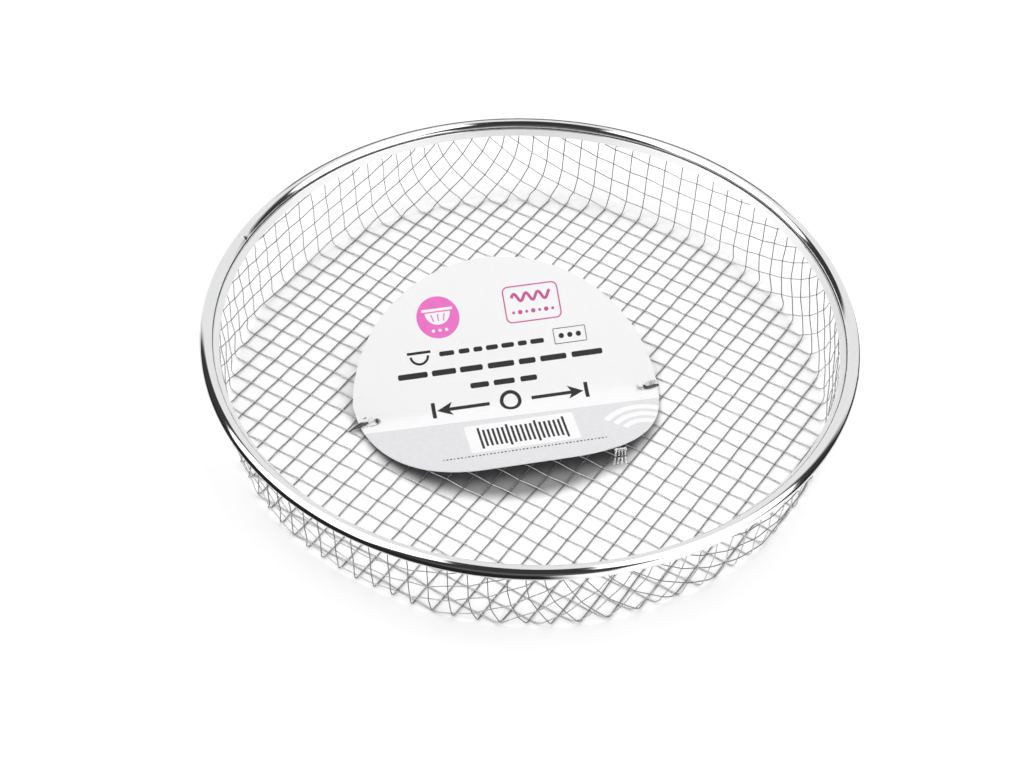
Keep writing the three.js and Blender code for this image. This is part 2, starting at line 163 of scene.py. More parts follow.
def between(a, b):
    return nearest((place(*a) + place(*b)) / 2)


def spread(a, b, splits):
    if splits == 0:
        return [a, b]
    middle = between(a, b)
    return spread(a, middle, splits - 1) + spread(middle, b, splits - 1)[1:]


def surface_distance(a, b):
    points = [place(*p) for p in spread(a, b, 2)]
    return sum((q - p).length for p, q in zip(points, points[1:]))


def next_crossing(a, reach_a, b, reach_b, s, phi):
    """The point that lies reach_a from a and reach_b from b along the surface, from a first guess."""
    nudge = 1e-7
    for _ in range(12):
        r = max(meridian(s)[0], 0.001)
        here = [surface_distance((s, phi), a) - reach_a, surface_distance((s, phi), b) - reach_b]
        along = [(surface_distance((s + nudge, phi), a) - reach_a - here[0]) / nudge,
                 (surface_distance((s + nudge, phi), b) - reach_b - here[1]) / nudge]
        around = [(surface_distance((s, phi + nudge / r), a) - reach_a - here[0]) / nudge,
                  (surface_distance((s, phi + nudge / r), b) - reach_b - here[1]) / nudge]
        det = along[0] * around[1] - around[0] * along[1]
        step_s = (around[0] * here[1] - around[1] * here[0]) / det
        step_p = (along[1] * here[0] - along[0] * here[1]) / det
        size = max(abs(step_s), abs(step_p))
        shorten = min(1.0, wire_pitch / 2 / size) if size > 0 else 1.0
        s += step_s * shorten
        phi += step_p * shorten / r
        if size < 1e-9:
            break
    return s, phi


furthest = math.ceil(core_middle / wire_pitch) + 2
crossings = {}
for total in range(2 * furthest + 1):
    for i in range(min(total, furthest) + 1):
        j = total - i
        if j > furthest:
            continue
        if i == 0:
            crossings[i, j] = ((j + 0.5) * wire_pitch, math.pi / 2)
            continue
        beside = crossings.get((i - 1, j))
        below = (i * wire_pitch, 0.0) if j == 0 else crossings.get((i, j - 1))
        corner = ((i - 1) * wire_pitch, 0.0) if j == 0 else crossings.get((i - 1, j - 1))
        if not beside or not below or not corner or min(beside[0], below[0]) > core_middle:
            continue
        start = place(*beside) + place(*below) - place(*corner)
        plan = math.hypot(start.x, start.y)
        s0 = plan if plan < bend_start else max(beside[0], below[0]) + 0.3 * wire_pitch
        rise = wire_pitch / 2 if j == 0 else wire_pitch
        crossings[i, j] = next_crossing(beside, wire_pitch, below, rise, s0, math.atan2(start.y, start.x))


def crossing_at(warp, weft):
    found = crossings.get((abs(warp), weft if weft >= 0 else -1 - weft))
    if found is None:
        return None
    s, phi = found
    x = math.copysign(math.cos(phi), 1 if warp >= 0 else -1)
    y = math.copysign(math.sin(phi), 1 if weft >= 0 else -1)
    return s, math.atan2(y, x), 1 if (warp + weft) % 2 == 0 else -1


def wire_line(number, is_warp):
    """The middle line of one wire from rim to rim, over and under its neighbours in turn."""
    met = [crossing_at(number, k) if is_warp else crossing_at(k, number)
           for k in range(-furthest, furthest + 1)]
    met = [m for m in met if m]
    crimp = -warp_crimp if is_warp else weft_crimp
    line = []
    for (sa, pa, side_a), (sb, pb, side_b) in zip(met, met[1:]):
        points = spread((sa, pa), (sb, pb), 3)
        for k, (s, phi) in enumerate(points[:-1]):
            swing = 0.5 + 0.5 * math.cos(math.pi * k / (len(points) - 1))
            side = side_a * swing + side_b * (1 - swing)
            line.append((s, phi, side * crimp))
    inside = [k for k, p in enumerate(line) if p[0] < wire_end]
    kept = line[inside[0] - 1:inside[-1] + 2]
    return [place(*p) + Vector((math.cos(p[1]), math.sin(p[1]), 0)) * pressed_out(p[0], p[1]) for p in kept]


def wire_object(name, line, diameter):
    data = bpy.data.curves.new(name, "CURVE")
    data.dimensions = "3D"
    data.bevel_depth = diameter / 2
    data.bevel_resolution = 1
    data.use_fill_caps = True
    spline = data.splines.new("POLY")
    spline.points.add(len(line) - 1)
    for point, co in zip(spline.points, line):
        point.co = (*co, 1)
    wire = bpy.data.objects.new(name, data)
    scene.collection.objects.link(wire)
    return wire


def new_node(tree, kind, inputs=(), **settings):
    """One shader node, with its settings, and its inputs set to a value or joined to an output."""
    node = tree.nodes.new(kind)
    for name, value in settings.items():
        setattr(node, name, value)
    for slot, value in dict(inputs).items():
        if isinstance(value, bpy.types.NodeSocket):
            tree.links.new(value, node.inputs[slot])
        else:
            node.inputs[slot].default_value = value
    return node


# Fine grain, as drawing, rolling and printing leave it: it varies the tone, the roughness and the height.
grain = bpy.data.node_groups.new("fine grain", "ShaderNodeTree")
for name, kind in (("Vector", "Vector"), ("Scale", "Float"), ("Dark", "Color"), ("Light", "Color"),
                   ("Smooth", "Float"), ("Rough", "Float")):
    grain.interface.new_socket(name, in_out="INPUT", socket_type="NodeSocket" + kind)
for name, kind in (("Color", "Color"), ("Roughness", "Float"), ("Height", "Float")):
    grain.interface.new_socket(name, in_out="OUTPUT", socket_type="NodeSocket" + kind)
given = grain.nodes.new("NodeGroupInput").outputs
speckle = new_node(grain, "ShaderNodeTexNoise", {
    "Vector": given["Vector"], "Scale": given["Scale"], "Detail": 5, "Roughness": 0.6})
even = new_node(grain, "ShaderNodeMapRange", {
    "Value": speckle.outputs["Fac"], "From Min": 0.3, "From Max": 0.7})
tone = new_node(grain, "ShaderNodeMix", {
    0: even.outputs["Result"], 6: given["Dark"], 7: given["Light"]}, data_type="RGBA")
polish = new_node(grain, "ShaderNodeMapRange", {
    "Value": even.outputs["Result"], "To Min": given["Smooth"], "To Max": given["Rough"]})
new_node(grain, "NodeGroupOutput", {
    "Color": tone.outputs[2], "Roughness": polish.outputs["Result"], "Height": even.outputs["Result"]})


def grained(name, metallic, scale, dark, light, smooth_part, rough_part, relief, stretch=(1, 1, 1)):
    """A material whose tone, roughness and height follow the fine grain, and the shader that it uses."""
    material = bpy.data.materials.new(name)
    material.use_nodes = True
    tree = material.node_tree
    shader = tree.nodes["Principled BSDF"]
    shader.inputs["Metallic"].default_value = metallic
    position = new_node(tree, "ShaderNodeTexCoord")
    scaled = new_node(tree, "ShaderNodeVectorMath", {
        0: position.outputs["Object"], 1: stretch}, operation="MULTIPLY")
    fine = new_node(tree, "ShaderNodeGroup", node_tree=grain)
    tree.links.new(scaled.outputs["Vector"], fine.inputs["Vector"])
    for slot, value in (("Scale", scale), ("Dark", (*dark, 1)), ("Light", (*light, 1)),
                        ("Smooth", smooth_part), ("Rough", rough_part)):
        fine.inputs[slot].default_value = value
    raised = new_node(tree, "ShaderNodeBump", {
        "Height": fine.outputs["Height"], "Strength": 1.0, "Distance": relief})
    tree.links.new(fine.outputs["Color"], shader.inputs["Base Color"])
    tree.links.new(fine.outputs["Roughness"], shader.inputs["Roughness"])
    tree.links.new(raised.outputs["Normal"], shader.inputs["Normal"])
    return material, shader


# Warp and weft are one drawn steel, both smooth: the warp's colour is painted darker and the weft's lighter,
# painted shade and painted highlight for how each mirrors the studio.
wire_grain = 1400
drawn_finish = (0.2, 0.32, 0.000004)
shaded_warp_steel, _ = grained("dark-painted warp wire", 0.85, wire_grain,
                        (0.2, 0.2, 0.205), (0.3, 0.3, 0.305), *drawn_finish)
lit_weft_steel, _ = grained("bright drawn wire", 0.8, wire_grain,
                        (0.5, 0.5, 0.505), (0.62, 0.62, 0.625), *drawn_finish)

warp_count = len([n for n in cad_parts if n.startswith("warp_wire_")])
warp_reach = (warp_count - 1) // 2
for number in range(-warp_reach, warp_reach + 1):
    node = "warp_wire_%02d" % (number + warp_reach + 1)
    wire = wire_object("woven_" + node, wire_line(number, True), wire_diameter)
    wire.data.materials.append(shaded_warp_steel)
    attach(wire, "root")
    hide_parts(node)

weft_reach = warp_reach - 1
for number in range(-1 - weft_reach, weft_reach + 1):
    name = "woven_weft_wire_%02d" % (number + weft_reach + 2)
    wire = wire_object(name, wire_line(number, False), wire_diameter)
    wire.data.materials.append(lit_weft_steel)
    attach(wire, "root")
    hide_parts("weft_wires")


# The core ring: one round wire hidden in the rim, which the cut ends of the cloth are folded over.
# It takes the weft's material, with its painted lighter tone, and it shows only from below, where the rim
# stays open.
bead_middle = 0.10284
core_steps = 240
core_line = [Vector((bead_middle * math.cos(a), bead_middle * math.sin(a), bead_level))
             for a in (2 * math.pi * k / core_steps for k in range(core_steps))]
core = wire_object("core_ring", core_line, 2 * core_radius)
core.data.splines[0].use_cyclic_u = True
core.data.materials.append(lit_weft_steel)
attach(core, "root")
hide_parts("weft_wires")


# The rim: two lengths of bright stainless sheet, rolled round the core, with a satin lip inside.
# At each seam the end of one length is opened a little and laps over the start of the next.
bead_radius = 0.00224
sheet = 0.00036
lip_edge = (-0.00394, -0.002)
lip_root_angle = math.radians(190)
tuck_angle = math.radians(-110)
bead_steps = 60
seam_angles = (math.radians(20.5), math.radians(190))
ring_step = math.radians(1.5)
lap_reach = 0.0016
lap_start = 0.0006
lap_rise = 0.00005
lap_chamfer = 0.00025
roll_line_stretch = (9, 6000, 6000)
lip_colour = (0.93, 0.93, 0.935, 1)
lip_roughness = 0.55
lip_metallic = 0.6


def rim_section(rise):
    """The closed outline of the rolled sheet, as radius and level from the middle of the bead."""
    turns = [lip_root_angle + (tuck_angle - lip_root_angle) * k / bead_steps for k in range(bead_steps + 1)]
    outside = bead_radius + rise
    outer = [(outside * math.cos(a), outside * math.sin(a)) for a in turns]
    inner = [((outside - sheet) * math.cos(a), (outside - sheet) * math.sin(a)) for a in reversed(turns)]
    edge = (lip_edge[0], lip_edge[1] + rise)
    along = Vector((outer[0][0] - edge[0], outer[0][1] - edge[1])).normalized()
    under = (edge[0] + along.y * sheet, edge[1] - along.x * sheet)
    return [edge] + outer + inner + [under]


def mesh_object(name, vertices, faces, sharp_angle):
    mesh = bpy.data.meshes.new(name)
    mesh.from_pydata(vertices, [], faces)
    mesh.update()
    mesh.shade_smooth()
    mesh.set_sharp_from_angle(angle=math.radians(sharp_angle))
    made = bpy.data.objects.new(name, mesh)
    scene.collection.objects.link(made)
    return made


def rim_band(name, start, end):
    steps = round((end - start) / ring_step)
    stations = [(start + (end - start) * k / steps, 0.0) for k in range(steps)]
    stations += [(end + along / bead_middle, rise) for along, rise in (
        (-lap_start, 0.0), (0.0, lap_rise), (lap_reach, lap_rise), (lap_reach + lap_chamfer, 0.0))]
    vertices = []
    for a, rise in stations:
        for out, z in rim_section(rise):
            r = bead_middle + out
            vertices.append((r * math.cos(a), r * math.sin(a), bead_level + z))
    n = len(rim_section(0))
    faces = []
    for k in range(len(stations) - 1):
        for i in range(n):
            faces.append((k * n + i, (k + 1) * n + i, (k + 1) * n + (i + 1) % n, k * n + (i + 1) % n))
    last = (len(stations) - 1) * n
    faces.append(tuple(range(n)))
    faces.append(tuple(reversed(range(last, last + n))))
    return mesh_object(name, vertices, faces, 35)


# Its roll lines run round the rim, so the grain is laid out by angle, radius and level.
rim_steel, rim_shader = grained("polished stainless sheet", 1, 1, (0.84, 0.84, 0.85), (0.9, 0.9, 0.91),
                                0.045, 0.09, 0.0000015)
tree = rim_steel.node_tree
position = new_node(tree, "ShaderNodeTexCoord")
split = new_node(tree, "ShaderNodeSeparateXYZ", {0: position.outputs["Object"]})
flat = new_node(tree, "ShaderNodeCombineXYZ", {0: split.outputs["X"], 1: split.outputs["Y"]})
rim_radius = new_node(tree, "ShaderNodeVectorMath", {0: flat.outputs["Vector"]}, operation="LENGTH")
rim_angle = new_node(tree, "ShaderNodeMath", {
    0: split.outputs["Y"], 1: split.outputs["X"]}, operation="ARCTAN2")
unrolled = new_node(tree, "ShaderNodeCombineXYZ", {
    0: rim_angle.outputs["Value"], 1: rim_radius.outputs["Value"], 2: split.outputs["Z"]})
roll_lines = new_node(tree, "ShaderNodeVectorMath", {
    0: unrolled.outputs["Vector"], 1: roll_line_stretch}, operation="MULTIPLY")
fine = next(n for n in tree.nodes if n.type == "GROUP")
tree.links.new(roll_lines.outputs["Vector"], fine.inputs["Vector"])
section_place = new_node(tree, "ShaderNodeCombineXYZ", {
    0: rim_radius.outputs["Value"], 1: split.outputs["Z"]})
from_middle = new_node(tree, "ShaderNodeVectorMath", {
    0: section_place.outputs["Vector"], 1: (bead_middle, bead_level, 0)}, operation="DISTANCE")
on_bead = new_node(tree, "ShaderNodeMapRange", {
    "Value": from_middle.outputs["Value"], "From Min": 1.06 * bead_radius, "From Max": 1.03 * bead_radius})
lip_shade = new_node(tree, "ShaderNodeMix", {
    0: on_bead.outputs["Result"], 6: lip_colour, 7: fine.outputs["Color"]}, data_type="RGBA")
lip_haze = new_node(tree, "ShaderNodeMapRange", {
    "Value": on_bead.outputs["Result"], "To Min": lip_roughness, "To Max": fine.outputs["Roughness"]})
tree.links.new(lip_shade.outputs[2], rim_shader.inputs["Base Color"])
tree.links.new(lip_haze.outputs["Result"], rim_shader.inputs["Roughness"])
lip_matt = new_node(tree, "ShaderNodeMapRange", {
    "Value": on_bead.outputs["Result"], "To Min": lip_metallic, "To Max": 1.0})
tree.links.new(lip_matt.outputs["Result"], rim_shader.inputs["Metallic"])

for letter, start, end in (("a", *seam_angles), ("b", seam_angles[1], seam_angles[0] + 2 * math.pi)):
    band = rim_band("rolled_rim_" + letter, start, end)
    band.data.materials.append(rim_steel)
    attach(band, "root")
    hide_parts("rim_band_" + letter)


# The card: a disc of white coated board with its foot cut straight. It lies on the knuckles of the cloth
# along the line of its two ties, bends up behind them and bows up at its foot. Its print is generic,
# part of its face, and holds no words.
card_middle = Vector((-0.0011, -0.0104))
card_turn = math.radians(45.1)
card_radius = 0.0505
card_foot = 0.0307
card_foot_half_width = 0.014
card_bottom = 2 * weft_crimp + wire_diameter + 0.00008
board = 0.00035
card_tilt = math.radians(33)
fold_radius = 0.006
fold_half = fold_radius * math.tan(card_tilt / 2)
bow_radius = 0.094
fold_spacing = 0.0015


def on_card(a, b, height):
    """The place of a point of the card, from its distances across and up the card, and above its back."""
    if b > fold_half:
        slope = card_tilt
        forth, rise = b * math.cos(slope), b * math.sin(slope)
    elif b > -fold_half:
        slope = card_tilt * (b + fold_half) / (2 * fold_half)
        forth, rise = fold_radius * math.sin(slope) - fold_half, fold_radius * (1 - math.cos(slope))
    else:
        slope = (b + fold_half) / bow_radius
        forth, rise = bow_radius * math.sin(slope) - fold_half, bow_radius * (1 - math.cos(slope))
    forth -= height * math.sin(slope)
    x = card_middle.x + a * math.cos(card_turn) - forth * math.sin(card_turn)
    y = card_middle.y + a * math.sin(card_turn) + forth * math.cos(card_turn)
    return Vector((x, y, card_bottom + rise + height * math.cos(slope)))


def arc(a, b, radius, first, last, steps):
    turns = [math.radians(first + (last - first) * k / steps) for k in range(steps + 1)]
    return [(a + radius * math.cos(t), b + radius * math.sin(t)) for t in turns]


def curve(p0, p1, p2, p3, steps):
    points = []
    for k in range(steps):
        t = k / steps
        w = ((1 - t) ** 3, 3 * t * (1 - t) ** 2, 3 * t * t * (1 - t), t ** 3)
        points.append(tuple(sum(f * p[i] for f, p in zip(w, (p0, p1, p2, p3))) for i in (0, 1)))
    return points


def disc(a, b, radius, steps=20):
    return arc(a, b, radius, 0, 360, steps)[:-1]


def slab(a, b, width, height, corner=0.0):
    """A rectangle with round corners about the point a, b."""
    w, h = width / 2 - corner, height / 2 - corner
    if corner == 0:
        return [(a - w, b - h), (a + w, b - h), (a + w, b + h), (a - w, b + h)]
    points = []
    for sign_a, sign_b, first in ((1, -1, 270), (1, 1, 0), (-1, 1, 90), (-1, -1, 180)):
        points += arc(a + sign_a * w, b + sign_b * h, corner, first, first + 90, 4)
    return points


def stroke(points, width):
    """A line of even width through the points, as one outline."""
    left, right_side = [], []
    for k, (a, b) in enumerate(points):
        pa, pb = points[max(k - 1, 0)]
        qa, qb = points[min(k + 1, len(points) - 1)]
        length = math.hypot(qa - pa, qb - pb)
        na, nb = -(qb - pb) / length * width / 2, (qa - pa) / length * width / 2
        left.append((a + na, b + nb))
        right_side.append((a - na, b - nb))
    return right_side + left[::-1]


flank = 0.66 * card_foot
outline = curve((card_foot_half_width, -card_foot), (0.71 * card_radius, -card_foot),
                (0.96 * card_radius, -flank), (card_radius, 0), 20)
outline += arc(0, 0, card_radius, 0, 172, 92)
outline += curve(outline[-1], (-0.955 * card_radius, -0.6 * flank),
                 (-0.72 * card_radius, -card_foot), (-card_foot_half_width, -card_foot), 24)[1:]
outline += [(-card_foot_half_width, -card_foot)]

paper, pink, magenta, ink, tint = range(5)
print_work = [(paper, outline)]


def printed(colour, *shapes):
    print_work.extend((colour, shape) for shape in shapes)


# The tinted foot, with three ripples and a bare panel that holds a comb of bars.
tint_left, tint_right = -0.0037, -0.0063
printed(tint, [(-0.055, tint_left), (-0.055, -0.04), (0.055, -0.04), (0.055, tint_right)])
for reach in (0.0080, 0.0115, 0.0150):
    printed(paper, stroke(arc(0.0405, -0.0240, reach, 42, 136, 14), 0.0021))
printed(paper, slab(0.0018, -0.0139, 0.0360, 0.0136, 0.0008))
for k in range(19):
    printed(ink, slab(-0.0119 + 0.00155 * k, -0.0138, 0.00078, 0.0106 if k % 6 == 0 else 0.0084))
for k in range(46):
    printed(ink, slab(-0.0257 + 0.00118 * k, -0.0224, 0.0007 if k % 3 else 0.0004, 0.0006))

# A pink disc with a bowl over three drops, and a rounded frame with a wave over a row of dots.
badge_a, badge_b = -0.0179, 0.0324
printed(pink, disc(badge_a, badge_b, 0.0071, 40))
printed(paper, slab(badge_a, badge_b + 0.0026, 0.0104, 0.0009, 0.0004))
bowl_level = badge_b + 0.0017
printed(paper, [(badge_a - 0.0042, bowl_level)] + arc(badge_a, bowl_level, 0.0042, 195, 345, 12)
        + [(badge_a + 0.0042, bowl_level)])
for out in (-0.0022, 0, 0.0022):
    printed(paper, disc(badge_a + out, badge_b - 0.0044, 0.00056, 12))
    rib = [(badge_a + out, bowl_level - 0.0006), (badge_a + out * 0.75, bowl_level - 0.0030)]
    printed(pink, stroke(rib, 0.0004))
frame_a, frame_b = 0.0138, 0.0333
printed(magenta, slab(frame_a, frame_b, 0.0188, 0.0126, 0.0020))
printed(paper, slab(frame_a, frame_b, 0.0179, 0.0117, 0.0016))
wave = [(frame_a - 0.0066 + 0.00034 * k, frame_b + 0.0022 + 0.0013 * math.sin(k * math.pi / 6))
        for k in range(40)]
printed(magenta, stroke(wave, 0.0010))
for k in range(7):
    printed(magenta, disc(frame_a + 0.0022 * (k - 3), frame_b - 0.0028, 0.00078 if k % 2 else 0.00052, 12))

# Dark rows: a bowl and bars, more bars, and a wide double arrow that stands for the size across.
for row_level, height, bars in (
        (0.0201, 0.0016, ((-0.0170, 0.0050), (-0.0112, 0.0036), (-0.0066, 0.0030), (-0.0019, 0.0040),
                          (0.0034, 0.0042), (0.0083, 0.0030), (0.0133, 0.0046))),
        (0.0140, 0.0019, ((-0.0292, 0.0098), (-0.0189, 0.0080), (-0.0098, 0.0076), (0.0001, 0.0088),
                          (0.0089, 0.0056), (0.0177, 0.0088), (0.0291, 0.0104))),
        (0.0082, 0.0018, ((-0.0080, 0.0062), (0.0002, 0.0070), (0.0084, 0.0056)))):
    for a, width in bars:
        printed(ink, slab(a, row_level, width, height, 0.0006))
dish_level = 0.0214
printed(ink, stroke([(-0.0300, dish_level), (-0.0222, dish_level)], 0.0009))
printed(ink, stroke(arc(-0.0261, dish_level - 0.0009, 0.0029, 185, 355, 12), 0.0008))
plate_a, plate_b = 0.0245, 0.0208
printed(ink, slab(plate_a, plate_b, 0.0110, 0.0054, 0.0004))
printed(paper, slab(plate_a, plate_b, 0.0105, 0.0049, 0.0003))
for a in (-0.0029, 0, 0.0029):
    printed(ink, disc(plate_a + a, plate_b, 0.0009, 12))
arrow_a, arrow_level = 0.0012, 0.0015
for side in (-1, 1):
    stop, barb = arrow_a + side * 0.0255, arrow_a + side * 0.0192
    printed(ink, stroke([(stop, arrow_level - 0.0028), (stop, arrow_level + 0.0028)][::side], 0.0013))
    printed(ink, stroke([(arrow_a + side * 0.0070, arrow_level),
                         (arrow_a + side * 0.0225, arrow_level)][::side], 0.0012))
    printed(ink, [(arrow_a + side * 0.0245, arrow_level), (barb, arrow_level + 0.0024),
                  (arrow_a + side * 0.0206, arrow_level), (barb, arrow_level - 0.0024)][::side])
printed(ink, disc(arrow_a, arrow_level, 0.0036, 32))
printed(paper, disc(arrow_a, arrow_level, 0.0024, 32))

# The face is cut along the edges of the print, and along level lines where the sheet bends.
points, shapes, cuts = [], [], []
for _, shape in print_work:
    area = sum(p[0] * q[1] - q[0] * p[1] for p, q in zip(shape, shape[1:] + shape[:1]))
    shapes.append(list(range(len(points), len(points) + len(shape))) if area > 0
                  else list(reversed(range(len(points), len(points) + len(shape)))))
    points += [Vector(p) for p in shape]
fold_steps = 8
folds = [fold_half - 2 * fold_half * k / fold_steps for k in range(fold_steps + 1)]
while folds[-1] - fold_spacing > -card_foot:
    folds.append(folds[-1] - fold_spacing)
for level in folds:
    cuts.append((len(points), len(points) + 1))
    points += [Vector((-card_radius, level)), Vector((card_radius, level))]
flat_points, _, triangles, _, _, origins = delaunay_2d_cdt(points, cuts, shapes, 0, 1e-7)
face_parts = [(t, print_work[max(o)][0]) for t, o in zip(triangles, origins) if 0 in o]
used = sorted({v for t, _ in face_parts for v in t})
index = {v: k for k, v in enumerate(used)}
count = len(used)
vertices = [on_card(*flat_points[v], board) for v in used] + [on_card(*flat_points[v], 0.0) for v in used]
faces = [[index[v] for v in t] for t, _ in face_parts]
colours = [colour for _, colour in face_parts]
edges = {(t[k], t[(k + 1) % len(t)]) for t in faces for k in range(len(t))}
rim_edges = [(p, q) for p, q in edges if (q, p) not in edges]
colours += [paper] * (len(faces) + len(rim_edges))
faces += [[v + count for v in reversed(t)] for t in faces]
faces += [[q, p, p + count, q + count] for p, q in rim_edges]
card = mesh_object("hang_card", vertices, faces, 40)
for name, dark, light, smooth_part, rough_part in (
        ("coated board", (0.955, 0.955, 0.955), (0.975, 0.975, 0.975), 0.3, 0.42),
        ("pink ink", (0.86, 0.15, 0.57), (0.92, 0.19, 0.63), 0.28, 0.4),
        ("magenta ink", (0.55, 0.06, 0.27), (0.66, 0.1, 0.34), 0.28, 0.4),
        ("dark ink", (0.006, 0.006, 0.007), (0.014, 0.014, 0.015), 0.45, 0.6),
        ("pale grey tint", (0.76, 0.76, 0.775), (0.81, 0.81, 0.825), 0.3, 0.42)):
    card.data.materials.append(grained(name, 0, 700, dark, light, smooth_part, rough_part, 0.000003)[0])
for polygon, colour in zip(card.data.polygons, colours):
    polygon.material_index = colour
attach(card, "root")
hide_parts("label_card")


# The ties: short lengths of glossy smoked strap that hold the card down over its side edges.
# Each is a flat tail with a thin loop and a knot, pressed on to the card and turned down to the mesh.
def lofted(path, half_widths, half_heights, sides=10):
    """Vertices and faces of a closed skin round a path, with oval sections across it."""
    vertices, faces = [], []
    for k, point in enumerate(path):
        ahead = (path[min(k + 1, len(path) - 1)] - path[max(k - 1, 0)]).normalized()
        aside = ahead.cross(Vector((0, 0, 1)))
        aside = aside.normalized() if aside.length > 0.1 else Vector((0.8, 0.6, 0))
        over = aside.cross(ahead)
        for i in range(sides):
            t = 2 * math.pi * i / sides
            vertices.append(point + aside * half_widths[k] * math.cos(t)
                            + over * half_heights[k] * math.sin(t))
    for k in range(len(path) - 1):
        for i in range(sides):
            j = (i + 1) % sides
            faces.append([k * sides + i, k * sides + j, (k + 1) * sides + j, (k + 1) * sides + i])
    last = (len(path) - 1) * sides
    faces += [list(reversed(range(sides))), list(range(last, last + sides))]
    return vertices, faces


def rounded(points, splits=3):
    """A smooth path through the points."""
    path = []
    for k in range(len(points) - 1):
        p0, p1, p2, p3 = (Vector(points[min(max(i, 0), len(points) - 1)]) for i in range(k - 1, k + 3))
        for n in range(splits):
            t = n / splits
            path.append(0.5 * (2 * p1 + (p2 - p0) * t + (2 * p0 - 5 * p1 + 4 * p2 - p3) * t * t
                               + (3 * p1 - p0 - 3 * p2 + p3) * t ** 3))
    return path + [Vector(points[-1])]


def over_card(*points):
    """Places in the scene of points given in mm: across the card, up the card, and above its face."""
    return [on_card(a * 0.001, b * 0.001, board + h * 0.001) for a, b, h in points]


def loft_object(name, strands):
    """One piece of several strands, each a path with half widths and half heights in mm."""
    vertices, faces = [], []
    for path, half_widths, half_heights in strands:
        path = rounded(path)
        spots = [k * (len(half_widths) - 1) / (len(path) - 1) for k in range(len(path))]

        def along(sizes):
            after = [sizes[min(int(s) + 1, len(sizes) - 1)] for s in spots]
            return [0.001 * (sizes[int(s)] + (n - sizes[int(s)]) * (s % 1)) for s, n in zip(spots, after)]

        more, skins = lofted(path, along(half_widths), along(half_heights))
        faces += [[v + len(vertices) for v in f] for f in skins]
        vertices += more
    return mesh_object(name, vertices, faces, 50)


smoked, smoked_shader = grained("smoked glossy strap", 0, 900, (0.015, 0.015, 0.016), (0.05, 0.05, 0.052),
                                0.12, 0.25, 0.000006)
smoked_shader.inputs["Coat Weight"].default_value = 0.6
clear, clear_shader = grained("clear glossy strap", 0, 900, (0.7, 0.7, 0.71), (0.86, 0.86, 0.87),
                              0.08, 0.2, 0.000006)
clear_shader.inputs["Transmission Weight"].default_value = 0.75
clear_shader.inputs["IOR"].default_value = 1.46

strap_left = loft_object("tie_left_strap", [
    (over_card((-52.8, -1.6, -0.37), (-50.9, -0.8, 0.13), (-49.3, -0.2, 0.38), (-48.1, 0.3, 0.6),
               (-46.9, 0.5, 0.25), (-46.0, 0.8, 0.35)),
     [0.12, 0.55, 0.85, 0.85, 0.6, 0.3], [0.1, 0.2, 0.22, 0.22, 0.2, 0.15]),
    (over_card((-43.0, -0.2, 0.3), (-43.1, 0.7, 0.55), (-43.2, 1.4, 0.5), (-43.3, 1.6, 0.25)),
     [0.3, 0.5, 0.42, 0.2], [0.2, 0.3, 0.28, 0.15]),
    (over_card((-47.3, 2.3, 0.12), (-46.4, 2.6, 0.12)), [0.14, 0.14], [0.08, 0.08]),
])
loop_left = loft_object("tie_left_loop", [
    (over_card((-46.2, 0.9, 0.4), (-45.5, 1.8, 0.9), (-44.7, 2.6, 0.2)),
     [0.13, 0.11, 0.09], [0.13, 0.11, 0.09]),
    (over_card((-46.8, -0.7, 0.1), (-45.2, -0.8, 0.25), (-43.7, -0.6, 0.3), (-42.2, 0.1, 0.3),
               (-42.3, 1.3, 0.45), (-43.3, 1.8, 0.4), (-44.6, 0.9, 0.3), (-45.9, 0.4, 0.25)),
     [0.14, 0.14, 0.14, 0.16, 0.16, 0.14, 0.13, 0.13], [0.14, 0.14, 0.14, 0.16, 0.16, 0.14, 0.13, 0.13]),
])
strap_right = loft_object("tie_right_strap", [
    (over_card((45.8, -0.9, 0.25), (46.9, -0.9, 0.28), (48.2, -0.8, 0.2), (49.4, -0.5, 0.25),
               (50.9, -0.4, 0.1)),
     [0.55, 0.75, 0.72, 0.65, 0.5], [0.18, 0.22, 0.2, 0.18, 0.15]),
    (over_card((45.5, 0.1, 0.2), (46.1, -0.2, 0.5), (46.5, -0.7, 0.25)),
     [0.22, 0.4, 0.22], [0.16, 0.25, 0.16]),
])
loop_right = loft_object("tie_right_loop", [
    (over_card((43.2, 0.0, 0.35), (43.7, -0.2, 0.55), (44.5, -0.4, 0.6), (45.2, -0.6, 0.45),
               (45.5, -0.7, 0.3)),
     [0.35, 0.95, 1.15, 0.85, 0.3], [0.2, 0.5, 0.58, 0.42, 0.2]),
    (over_card((46.1, 0.4, 0.25), (47.5, 1.1, 0.4), (48.9, 1.6, 0.48), (50.0, 1.6, 0.2), (50.1, 1.0, 0.2),
               (49.1, 0.7, 0.58), (47.8, 0.2, 0.3)),
     [0.15, 0.16, 0.16, 0.16, 0.16, 0.16, 0.15], [0.15, 0.16, 0.16, 0.16, 0.16, 0.16, 0.15]),
    (over_card((47.7, 0.6, 0.2), (48.8, 1.0, 0.53), (49.6, 1.2, 0.23)), [0.3, 0.42, 0.25], [0.1, 0.12, 0.1]),
])
for piece, node, material in ((strap_left, "tie_left", smoked), (loop_left, "tie_left", clear),
                              (strap_right, "tie_right", smoked), (loop_right, "tie_right", clear)):
    piece.data.materials.append(material)
    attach(piece, "root")
    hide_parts(node)


# The tab: the ribbed clear tail of the fastener in front of the card's raised foot, standing on the mesh.
# Its ribs spread at their foot, and a dark strap holds them together near the card's edge; dark rods in the
# gaps between the ribs are painted shade.
tab_middle, tab_front = 29.6, -31.7
rib_spread = 1.55
tab_floor = 2 * weft_crimp + wire_diameter + 0.0001


